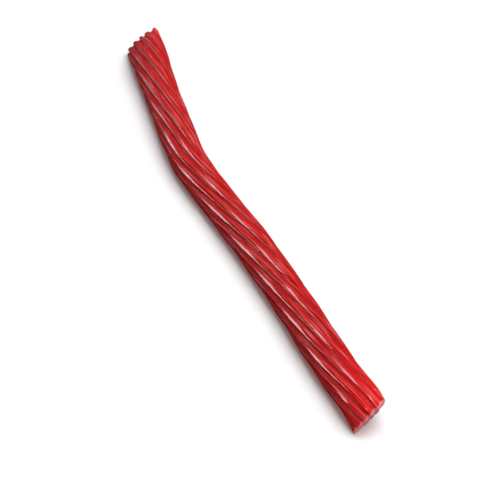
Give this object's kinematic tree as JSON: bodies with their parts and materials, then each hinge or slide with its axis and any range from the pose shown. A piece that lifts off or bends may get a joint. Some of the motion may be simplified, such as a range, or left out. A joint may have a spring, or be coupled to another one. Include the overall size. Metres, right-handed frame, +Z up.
{
  "type": "red licorice twist",
  "caption": "Rope of red licorice candy with ribs that wind round it, hollow down the middle and pinched flat at both cut ends, lying on its side.",
  "frame": {"origin": "bottom centre of the twist's box, on the surface that it lies on", "axes": "+X along the twist from its far end to its near end, +Z up from the surface"},
  "size_m": [0.1998, 0.0174, 0.01],
  "materials": {
    "red_candy": "glossy chewy candy, slightly translucent"
  },
  "bodies": {
    "root": {"licorice_twist": "red_candy"}
  },
  "joints": []
}
